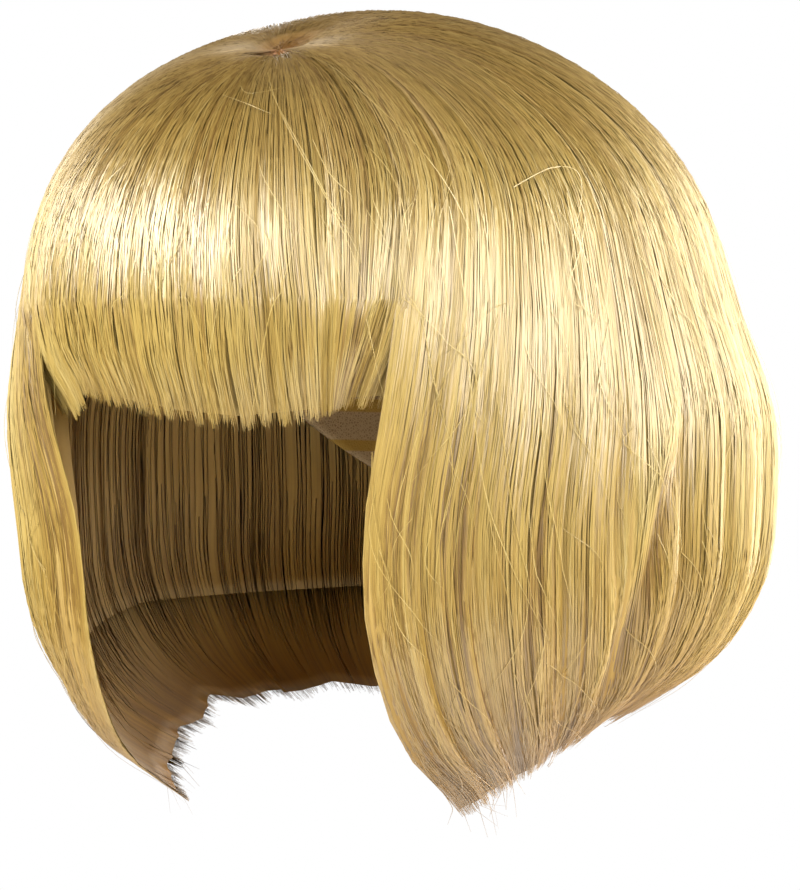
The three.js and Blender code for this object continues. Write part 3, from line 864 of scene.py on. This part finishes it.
def cross_over(rng, hair, count):
    """Loose hairs that cross their neighbours on a bow and stand off them in the middle, by half a sine."""
    width = hair.width()
    t = np.linspace(0, 1, CROSS_POINTS)[None, :]
    arch = np.sin(np.pi * t)
    middle = rng.uniform(*hair.crossing, (count, 1))
    length = rng.uniform(*CROSS_LENGTHS, (count, 1))
    run = np.clip(middle + length * (t - 0.5), *CROSS_WITHIN)
    drift = rng.normal(0, CROSS_DRIFT, (count, 1)) * (t - 0.5)
    bow = rng.normal(0, CROSS_BOW, (count, 1)) * arch
    bow = bow + rng.normal(0, CROSS_WAVE, (count, 1)) * np.sin(2 * np.pi * t)
    share = rng.uniform(*CROSS_SHARES, (count, 1)) + (drift + bow) / width
    lift = rng.uniform(*CROSS_LIFTS, (count, 1)) * arch + CROSS_CLEARANCE
    outer = hair.loose_face(share, run)
    beside = hair.loose_face(share + 0.5 / width, run) - outer
    thin = mix(1, TIP_THICKNESS, smooth(t, CROSS_THINS, 1))
    widths = STRAND_WIDTH * rng.uniform(*CROSS_WIDTHS, (count, 1)) * thin
    tone = rng.uniform(*CROSS_TONES, (count, 1)) + 0 * run
    paths = outer + lift[..., None] * outward(outer)
    return paths, widths, hair.pattern(share, run), tone, 1 + 0 * run, beside


def hang_loose(rng, hair, count):
    """Loose hairs at a piece's tips: each follows the hair to the hem, and then goes on straight for a few
    millimetres, along the hair's last direction with a random turn and a share of down."""
    width = hair.width()
    t = np.linspace(0, 1, HANG_POINTS)[None, :]
    share = rng.uniform(*HANG_SHARES, (count, 1)) + rng.normal(0, HANG_DRIFT, (count, 1)) * t / width
    run = mix(rng.uniform(*HANG_FROM, (count, 1)), HANG_LAST, np.minimum(t / HANG_LEAVES, 1))
    face = hair.loose_face(share, run)
    paths = face + rng.uniform(*HANG_OFF, (count, 1, 1)) * t[..., None]
    last = 0 * run + HANG_LAST
    end = unit(hair.loose_face(share, last) - hair.loose_face(share, last - HANG_AIM))
    aim = unit(end + rng.normal(0, HANG_SCATTER, (count, 1, 3)) + np.array(HANG_DOWN))
    free = np.maximum(0, t - HANG_LEAVES) / (1 - HANG_LEAVES) * rng.uniform(*HANG_LENGTHS, (count, 1))
    paths = paths + free[..., None] * aim
    beside = hair.loose_face(share + 0.5 / width, run) - face
    thin = mix(1, TIP_THICKNESS, smooth(t, HANG_THINS, 1))
    widths = STRAND_WIDTH * rng.uniform(*HANG_WIDTHS, (count, 1)) * thin
    tone = rng.uniform(*HANG_TONES, (count, 1)) + 0 * run
    return paths, widths, hair.pattern(share, run), tone, 1 + 0 * run, beside


def fly_away(hairs):
    """The long loose hairs of a table, each on a smooth curve through its places over the outer hair."""
    t = np.linspace(0, 1, FLY_POINTS)
    bearing = np.stack([curve(one, "bearing", t) for one in hairs])
    run = np.stack([curve(one, "run", t) for one in hairs])
    lift = np.stack([curve(one, "lift", t) for one in hairs])
    drop = hair_drop(bearing)
    outer = surface(bearing, run, 1.0, lift, HAIR_FALL, drop)
    beside = surface(bearing + FLY_STEP, run, 1.0, lift, HAIR_FALL, drop) - outer
    widths = STRAND_WIDTH * mix(*FLY_WIDTHS, smooth(t, FLY_THINS, 1)) + 0 * run
    pattern = np.stack([bearing, run / 2], -1)
    return outer, widths, pattern, FLY_TONE + 0 * run, 1 + 0 * run, beside


def on_top(rng, count):
    """Most strands lie on the outer face, and the rest in the gap between it and the mass of the hair."""
    deep = rng.uniform(0, 1, count) < DEEP_STRANDS
    below = rng.uniform(*DEEP_LEVELS, count)
    return np.where(deep, below, 1.0 - TOP_SPREAD * rng.exponential(TOP_CROWDING, count))


def on_both_faces(rng, count):
    """For the under hair, which is seen from inside and outside."""
    inside = rng.uniform(0, 1, count) < INNER_STRANDS
    near_cap = INNER_SPREAD * rng.exponential(1, count)
    return np.where(inside, near_cap, 1 - OUTER_SPREAD * rng.exponential(1, count))


def shell_between(parts, hair, columns, rows, high):
    """The mass of hair beneath the strands: a wall between two levels, a little shorter than the strands. It
    starts thin at the whorl, and its faces draw together at the tips."""
    share = np.linspace(0, 1, columns)[:, None] + np.zeros((1, rows))
    tip = hair.tip(share) - hair.short
    run = mix(hair.root(share), tip, np.linspace(0, 1, rows)[None, :])
    outer, inner = hair.faces(share, run)
    closing = smooth(run, tip - hair.taper, tip)
    top = mix(mix(SHELL_LOW + SHELL_AT_WHORL, high, hair.risen(share, run)), TIP_LEVEL, closing)
    bottom = mix(SHELL_LOW, TIP_LEVEL - SHELL_AT_TIPS, closing)
    upper = mix(inner, outer, top[..., None])
    lower = mix(inner, outer, bottom[..., None])
    add_shell(parts, upper, lower, hair.pattern(share, run))


def new_material(name):
    """A material with nodes: itself, its tree and its shader."""
    material = bpy.data.materials.new(name)
    material.use_nodes = True
    return material, material.node_tree, material.node_tree.nodes["Principled BSDF"]


def node(tree, kind, label, **values):
    """A shader node with a label, its properties and its sockets' values."""
    made = tree.nodes.new(kind)
    made.label = label
    for key, value in values.items():
        if hasattr(made, key):
            setattr(made, key, value)
        else:
            made.inputs[key].default_value = value
    return made


def ramp(tree, label, stops):
    """A colour ramp with (place, colour) stops."""
    made = tree.nodes.new("ShaderNodeValToRGB")
    made.label = label
    elements = made.color_ramp.elements
    while len(elements) < len(stops):
        elements.new(0.5)
    for element, (place, colour) in zip(elements, stops):
        element.position = place
        element.color = (*colour, 1)
    return made


def streaks(tree, place, label, across, along):
    """Noise over the pattern's coordinates, stretched down the strands."""
    link = tree.links.new
    spread = node(tree, "ShaderNodeMapping", label, Scale=(across, along, 1))
    link(place.outputs["UV"], spread.inputs["Vector"])
    noise = node(tree, "ShaderNodeTexNoise", label, Scale=1.0, Detail=2.0, Roughness=0.6)
    link(spread.outputs["Vector"], noise.inputs["Vector"])
    return noise.outputs["Fac"]


def add_share(tree, first, second, share):
    """first + share second."""
    total = node(tree, "ShaderNodeMath", "add a share", operation="MULTIPLY_ADD")
    tree.links.new(second, total.inputs[0])
    total.inputs[1].default_value = share
    tree.links.new(first, total.inputs[2])
    return total.outputs[0]


def hair_material(name, stops, roots):
    """Fibre: every strand has its own tone, and so has each tuft. Deeper strands are painted darker, which is
    painted shade, and along the strand the colour darkens at the roots and towards the ends, partly real darker
    roots and golden ends and partly painted shade on the crown and low on the sides.
    """
    material, tree, shader = new_material(name)
    link = tree.links.new
    place = node(tree, "ShaderNodeUVMap", "millimetres across, and half the run", uv_map="Strand")
    fibre = node(tree, "ShaderNodeAttribute", "tone, level and dullness", attribute_name="fibre")
    apart = node(tree, "ShaderNodeSeparateXYZ", "tone, level and dullness apart")
    link(fibre.outputs["Vector"], apart.inputs["Vector"])
    single = streaks(tree, place, "single fibres", 4.5, 1.2)
    tone = streaks(tree, place, "fine streaks", 1.2, 1.5)
    tone = add_share(tree, tone, single, SINGLE_SHARE)
    tone = add_share(tree, tone, streaks(tree, place, "tufts", 0.3, 1.6), TUFT_SHARE)
    tone = add_share(tree, tone, apart.outputs["X"], TONE_SHARE)
    # Painted shade: the level paints deeper strands and the mass beneath them darker.
    tone = add_share(tree, tone, apart.outputs["Y"], LEVEL_PAINTED_SHADE)
    spread = node(tree, "ShaderNodeMapRange", "spread of the tones")
    spread.inputs["From Min"].default_value = DARKEST
    spread.inputs["From Max"].default_value = PALEST
    link(tone, spread.inputs["Value"])
    tones = ramp(tree, "tones of the fibre", stops)
    link(spread.outputs["Result"], tones.inputs["Fac"])
    split = node(tree, "ShaderNodeSeparateXYZ", "along the strand")
    link(place.outputs["UV"], split.inputs["Vector"])
    # Darker roots and golden ends, partly painted shade: darker on the crown and again low on the sides.
    roots_and_painted_shade = ramp(tree, "roots and ends", roots)
    link(split.outputs["Y"], roots_and_painted_shade.inputs["Fac"])
    shade = node(tree, "ShaderNodeMix", "shade the roots", data_type="RGBA", blend_type="MULTIPLY")
    shade.inputs[0].default_value = 1.0
    link(tones.outputs["Color"], shade.inputs[6])
    link(roots_and_painted_shade.outputs["Color"], shade.inputs[7])
    link(shade.outputs[2], shader.inputs["Base Color"])
    dull = node(tree, "ShaderNodeMapRange", "glossy strands over a dull mass")
    dull.inputs["To Min"].default_value = STRAND_ROUGHNESS
    dull.inputs["To Max"].default_value = MASS_ROUGHNESS
    link(apart.outputs["Z"], dull.inputs["Value"])
    link(dull.outputs["Result"], shader.inputs["Roughness"])
    shader.inputs["IOR"].default_value = 1.85
    shader.inputs["Specular IOR Level"].default_value = 1.0
    shader.inputs["Specular Tint"].default_value = (1.0, 0.94, 0.8, 1)
    shader.inputs["Anisotropic"].default_value = 0.7
    shader.inputs["Anisotropic Rotation"].default_value = 0.25
    flow = node(tree, "ShaderNodeAttribute", "direction of the strands", attribute_name="flow")
    link(flow.outputs["Vector"], shader.inputs["Tangent"])
    bump = node(tree, "ShaderNodeBump", "fibres side by side", Strength=0.35, Distance=0.0003)
    link(single, bump.inputs["Height"])
    link(bump.outputs["Normal"], shader.inputs["Normal"])
    return material


def net_material(name, hole, thread, weft):
    """Stretch net of fine meshes, with a row of sewn hair at every twelfth of the run."""
    material, tree, shader = new_material(name)
    link = tree.links.new
    place = node(tree, "ShaderNodeTexCoord", "place on the wig")
    weave = node(tree, "ShaderNodeTexVoronoi", "meshes of the net", Scale=NET_SCALE, feature="DISTANCE_TO_EDGE")
    link(place.outputs["Object"], weave.inputs["Vector"])
    shades = ramp(tree, "thread and hole", [(0.0, thread), (THREAD_EDGE, thread), (HOLE_EDGE, hole)])
    link(weave.outputs["Distance"], shades.inputs["Fac"])
    along = node(tree, "ShaderNodeUVMap", "bearing and run", uv_map="Strand")
    rows = node(tree, "ShaderNodeTexWave", "rows of sewn hair", Scale=ROW_SCALE, bands_direction="Y")
    link(along.outputs["UV"], rows.inputs["Vector"])
    sewn = ramp(tree, "where a row lies", [(0.0, BLACK), (ROW_EDGE, BLACK), (ROW_TOP, WHITE)])
    link(rows.outputs["Fac"], sewn.inputs["Fac"])
    colours = node(tree, "ShaderNodeMix", "net and rows", data_type="RGBA")
    link(sewn.outputs["Color"], colours.inputs[0])
    link(shades.outputs["Color"], colours.inputs[6])
    colours.inputs[7].default_value = (*weft, 1)
    link(colours.outputs[2], shader.inputs["Base Color"])
    shader.inputs["Roughness"].default_value = 0.85
    bump = node(tree, "ShaderNodeBump", "threads stand up", Strength=0.6, Distance=0.0003, invert=True)
    link(weave.outputs["Distance"], bump.inputs["Height"])
    link(bump.outputs["Normal"], shader.inputs["Normal"])
    return material


# Linear colours
BROWN = (0.26, 0.14, 0.022)
DEEP_GOLD = (0.42, 0.255, 0.045)
GOLD = (0.56, 0.375, 0.08)
PALE_GOLD = (0.68, 0.49, 0.13)
BLONDE = (0.8, 0.63, 0.24)
BLACK = (0, 0, 0)
WHITE = (1, 1, 1)

# What the tone of the fibre is made of besides its fine streaks, and the sums at the two ends of its colours
SINGLE_SHARE = 0.4
TUFT_SHARE = 0.6
TONE_SHARE = 0.42
# painted shade: the share of a fibre's level by which deeper strands are painted darker
LEVEL_PAINTED_SHADE = 0.3
DARKEST = 1.1
PALEST = 1.98
STRAND_ROUGHNESS = 0.4
MASS_ROUGHNESS = 0.8

# The net: meshes for each metre, the shares of a mesh where its thread ends and its hole begins, and the rows
NET_SCALE = 1300.0
THREAD_EDGE = 0.12
HOLE_EDGE = 0.3
ROW_SCALE = 3.8
ROW_EDGE = 0.72
ROW_TOP = 0.85

HAIR = hair_material(
    "blonde_fibre",
    [(0.0, BROWN), (0.15, DEEP_GOLD), (0.4, GOLD), (0.7, PALE_GOLD), (1.0, BLONDE)],
    # Along the strand: darker at the crown and towards the hem, partly real roots and ends and partly painted
    # shade
    [
        (0.0, (0.75, 0.38, 0.22)),
        (0.012, (0.5, 0.35, 0.22)),
        (0.03, (0.42, 0.35, 0.26)),
        (0.17, (0.42, 0.37, 0.3)),
        (0.3, (0.64, 0.59, 0.52)),
        (0.42, (0.97, 0.97, 0.97)),
        (0.72, (0.97, 0.94, 0.91)),
        (0.86, (0.74, 0.62, 0.4)),
        (0.94, (0.58, 0.4, 0.12)),
        (1.0, (0.45, 0.27, 0.04)),
    ],
)
UNDER = hair_material(
    "golden_under_fibre",
    [(0.0, BROWN), (0.25, DEEP_GOLD), (0.6, GOLD), (1.0, PALE_GOLD)],
    [
        (0.0, (0.7, 0.65, 0.55)),
        (0.5, (0.95, 0.92, 0.88)),
        (0.8, (0.85, 0.75, 0.55)),
        (1.0, (0.55, 0.42, 0.25)),
    ],
)
NET = net_material("cap_net", (0.3, 0.2, 0.1), (0.46, 0.33, 0.18), DEEP_GOLD)
SKIN = net_material("skin_patch", (0.55, 0.3, 0.15), (0.62, 0.36, 0.2), (0.6, 0.34, 0.18))

# The pieces of hair, each with its seed, its count of strands and of points along each, the columns and rows of
# its mass and the level of the mass's top, the millimetres by which strands stray past its edges, and how many
# loose hairs it has
HAIR_PIECES = [
    {
        "name": "fringe",
        "hair": Fringe(-FRINGE_END, FRINGE_END, FRINGE_LOCKS),
        "seed": 1,
        "strands": (1900, 15),
        "mass": (90, 30, 0.86),
        "crossing": 70,
    },
    {
        "name": "front_lock_left",
        "hair": OuterHair(LOCK_FRONT, LOCK_BACK, LEFT_FRONT_LOCKS),
        "seed": 2,
        "strands": (420, 22),
        "mass": (20, 48, 0.83),
        "reach": (1.5, 2),
        "crossing": 30,
        "hanging": 22,
    },
    {
        "name": "front_lock_right",
        "hair": OuterHair(-LOCK_BACK, -LOCK_FRONT, RIGHT_FRONT_LOCKS),
        "seed": 3,
        "strands": (420, 22),
        "mass": (20, 48, 0.83),
        "reach": (2, 8),
        "crossing": 12,
        "hanging": 22,
    },
    {
        "name": "side_hair_left",
        "hair": OuterHair(LOCK_BACK, SIDE_BACK, LEFT_SIDE_LOCKS),
        "seed": 4,
        "strands": (1300, 22),
        "mass": (100, 48, 0.86),
        "reach": (2, 2),
        "crossing": 80,
        "long_loose": FLY_AWAYS,
    },
    {
        "name": "side_hair_right",
        "hair": OuterHair(-SIDE_BACK, -LOCK_BACK, RIGHT_SIDE_LOCKS),
        "seed": 5,
        "strands": (1100, 22),
        "mass": (60, 48, 0.86),
        "reach": (2, 2),
        "crossing": 40,
    },
    {
        "name": "back_hair",
        "hair": OuterHair(SIDE_BACK, 360 - SIDE_BACK, BACK_LOCKS),
        "seed": 6,
        "strands": (1400, 20),
        "mass": (110, 48, 0.86),
        "reach": (2, 2),
        "crossing": 40,
    },
    {
        "name": "under_hair",
        "hair": UnderHair(FRINGE_END, 360 - FRINGE_END, UNDER_LOCKS),
        "seed": 7,
        "strands": (1200, 14),
        "mass": (150, 24, 0.85),
        "levels": on_both_faces,
        "material": UNDER,
        "slot": "under_hair",
    },
]


def make_hair(
    name,
    hair,
    seed,
    strands,
    mass,
    reach=(0.0, 0.0),
    crossing=0,
    hanging=0,
    long_loose=(),
    levels=on_top,
    material=HAIR,
    slot="hair",
):
    """One piece of hair, fused from its mass, its strands and its loose hairs."""
    rng = np.random.default_rng(SEED + seed)
    parts = Parts()
    shell_between(parts, hair, *mass)
    add_strands(parts, *comb(rng, hair, *strands, levels, reach))
    if crossing:
        add_strands(parts, *cross_over(rng, hair, crossing))
    if hanging:
        add_strands(parts, *hang_loose(rng, hair, hanging))
    if long_loose:
        add_strands(parts, *fly_away(long_loose))
    piece = make_object(name, parts, material)
    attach(piece, "root")
    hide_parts(name)
    piece.name = name + "_combed"


def net_wall(name, bearing, run, material):
    """A closed wall of the cap's thickness, inwards from the cap's outer face."""
    outer = surface(bearing, run, 0.0, 0.0, CAP_FALL, DROP_SIDE)
    inner = surface(bearing, run, 0.0, -CAP_WALL, CAP_FALL, DROP_SIDE)
    parts = Parts()
    add_shell(parts, outer, inner, np.stack([bearing, run], -1))
    return make_object(name, parts, material)


def make_cap():
    """The net cap as a smooth ring from the crown patch to its edge."""
    columns, rows = 120, 60
    bearing = np.linspace(0, 360, columns)[:, None] + np.zeros((1, rows))
    top = run_at_distance(bearing, PATCH_RADIUS + SEAM_CLEARANCE)
    run = mix(top, curve(CAP_EDGE, "run", from_front(bearing)), np.linspace(0, 1, rows)[None, :])
    piece = net_wall("cap_of_net", bearing, run, NET)
    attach(piece, "root")
    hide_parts("cap")


def make_patch():
    """The crown patch as a smooth disc."""
    columns, rows = 60, 12
    bearing = np.linspace(0, 360, columns)[:, None] + np.zeros((1, rows))
    run = run_at_distance(bearing, PATCH_RADIUS) * np.linspace(0.001, 1, rows)[None, :]
    piece = net_wall("patch_at_crown", bearing, run, SKIN)
    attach(piece, "root")
    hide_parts("crown_patch")


# The camera, fitted to the photograph: it stands at a distance from the pivot and looks at the aim
CAMERA_AZIMUTH = 32.2
CAMERA_ELEVATION = 3.87
CAMERA_ROLL = 2.66
CAMERA_DISTANCE = 1021
CAMERA_PIVOT = (0, 0, -100)
CAMERA_AIM = (2.9, 1.1, -110.9)
CAMERA_LENS = 147.4
CAMERA_SENSOR = 36

# The studio, in metres: its floor, its surroundings and its lights, whose half sizes are the angles at which
# the wig sees them
FLOOR_HALF = 0.9
FLOOR_LEVEL = -0.7
FLOOR_COLOUR = (0.72, 0.71, 0.67)
WORLD_LIGHT = 0.17
LIGHT_DISTANCE = 1.6
LIGHT_COLOUR = (1.0, 0.985, 0.96)
LIGHT_CENTRE = (0, 0, -0.1)
LIGHTS = [
    {"name": "key", "azimuth": -31, "elevation": 28.5, "half_sizes": (33, 10.5), "radiance": 35},
    {"name": "side", "azimuth": 83, "elevation": 15, "half_sizes": (42, 13), "radiance": 19},
    {"name": "back", "azimuth": 166, "elevation": 0, "half_sizes": (35, 22), "radiance": 19},
    {"name": "far", "azimuth": -145, "elevation": 2, "half_sizes": (26, 20), "radiance": 22},
]


def direction(azimuth, elevation):
    """The unit vector sin a cos e, -cos a cos e, sin e, for angles in degrees."""
    a, e = np.radians([azimuth, elevation])
    return np.array([np.sin(a) * np.cos(e), -np.cos(a) * np.cos(e), np.sin(e)])


def make_camera():
    """Looks from the wearer's left and a little above, turned a little about its own axis."""
    place = np.array(CAMERA_PIVOT) + CAMERA_DISTANCE * direction(CAMERA_AZIMUTH, CAMERA_ELEVATION)
    back = unit(place - np.array(CAMERA_AIM))
    right = unit(np.cross([0, 0, 1], back))
    up = np.cross(back, right)
    roll = np.radians(CAMERA_ROLL)
    camera = bpy.data.objects.new("Camera", bpy.data.cameras.new("Camera"))
    camera.data.sensor_width = CAMERA_SENSOR
    camera.data.lens = CAMERA_LENS
    bpy.context.scene.collection.objects.link(camera)
    matrix = np.eye(4)
    matrix[:3, 0] = np.cos(roll) * right - np.sin(roll) * up
    matrix[:3, 1] = np.sin(roll) * right + np.cos(roll) * up
    matrix[:3, 2] = back
    matrix[:3, 3] = place * METRES
    camera.matrix_world = Matrix(matrix.tolist())
    bpy.context.scene.camera = camera


def add_softbox(name, azimuth, elevation, half_sizes, radiance):
    """A studio light that faces the wig's middle."""
    width, height = 2 * LIGHT_DISTANCE * np.tan(np.radians(half_sizes))
    back = direction(azimuth, elevation)
    light = bpy.data.lights.new(name, "AREA")
    light.shape = "RECTANGLE"
    light.size = width
    light.size_y = height
    light.energy = radiance * width * height
    light.color = LIGHT_COLOUR
    lamp = bpy.data.objects.new(name, light)
    bpy.context.scene.collection.objects.link(lamp)
    lamp.location = Vector(back * LIGHT_DISTANCE) + Vector(LIGHT_CENTRE)
    lamp.rotation_euler = Vector(back).to_track_quat("Z", "Y").to_euler()


def make_floor():
    """Pale floor well below the wig."""
    corners = [(x * FLOOR_HALF, y * FLOOR_HALF, FLOOR_LEVEL) for x, y in ((-1, -1), (1, -1), (1, 1), (-1, 1))]
    mesh = bpy.data.meshes.new("floor")
    mesh.from_pydata(corners, [], [(0, 1, 2, 3)])
    floor = bpy.data.objects.new("floor", mesh)
    bpy.context.scene.collection.objects.link(floor)
    paint, _, shader = new_material("floor_paint")
    shader.inputs["Base Color"].default_value = (*FLOOR_COLOUR, 1)
    shader.inputs["Roughness"].default_value = 0.9
    shader.inputs["Specular IOR Level"].default_value = 0.1
    mesh.materials.append(paint)


def make_studio():
    """White surroundings that light the wig dimly, the soft lights, and plain view colours."""
    world = bpy.data.worlds.new("studio")
    world.use_nodes = True
    tree = world.node_tree
    background = tree.nodes["Background"]
    background.inputs["Color"].default_value = (1, 1, 1, 1)
    ray = node(tree, "ShaderNodeLightPath", "seen or lighting")
    strength = node(tree, "ShaderNodeMapRange", "white behind the wig, dimmer as a light")
    strength.inputs["To Min"].default_value = WORLD_LIGHT
    strength.inputs["To Max"].default_value = 1.0
    tree.links.new(ray.outputs["Is Camera Ray"], strength.inputs["Value"])
    tree.links.new(strength.outputs["Result"], background.inputs["Strength"])
    bpy.context.scene.world = world
    for light in LIGHTS:
        add_softbox(**light)
    bpy.context.scene.view_settings.view_transform = "Standard"


make_camera()
make_cap()
make_patch()
for row in HAIR_PIECES:
    make_hair(**row)
make_floor()
make_studio()
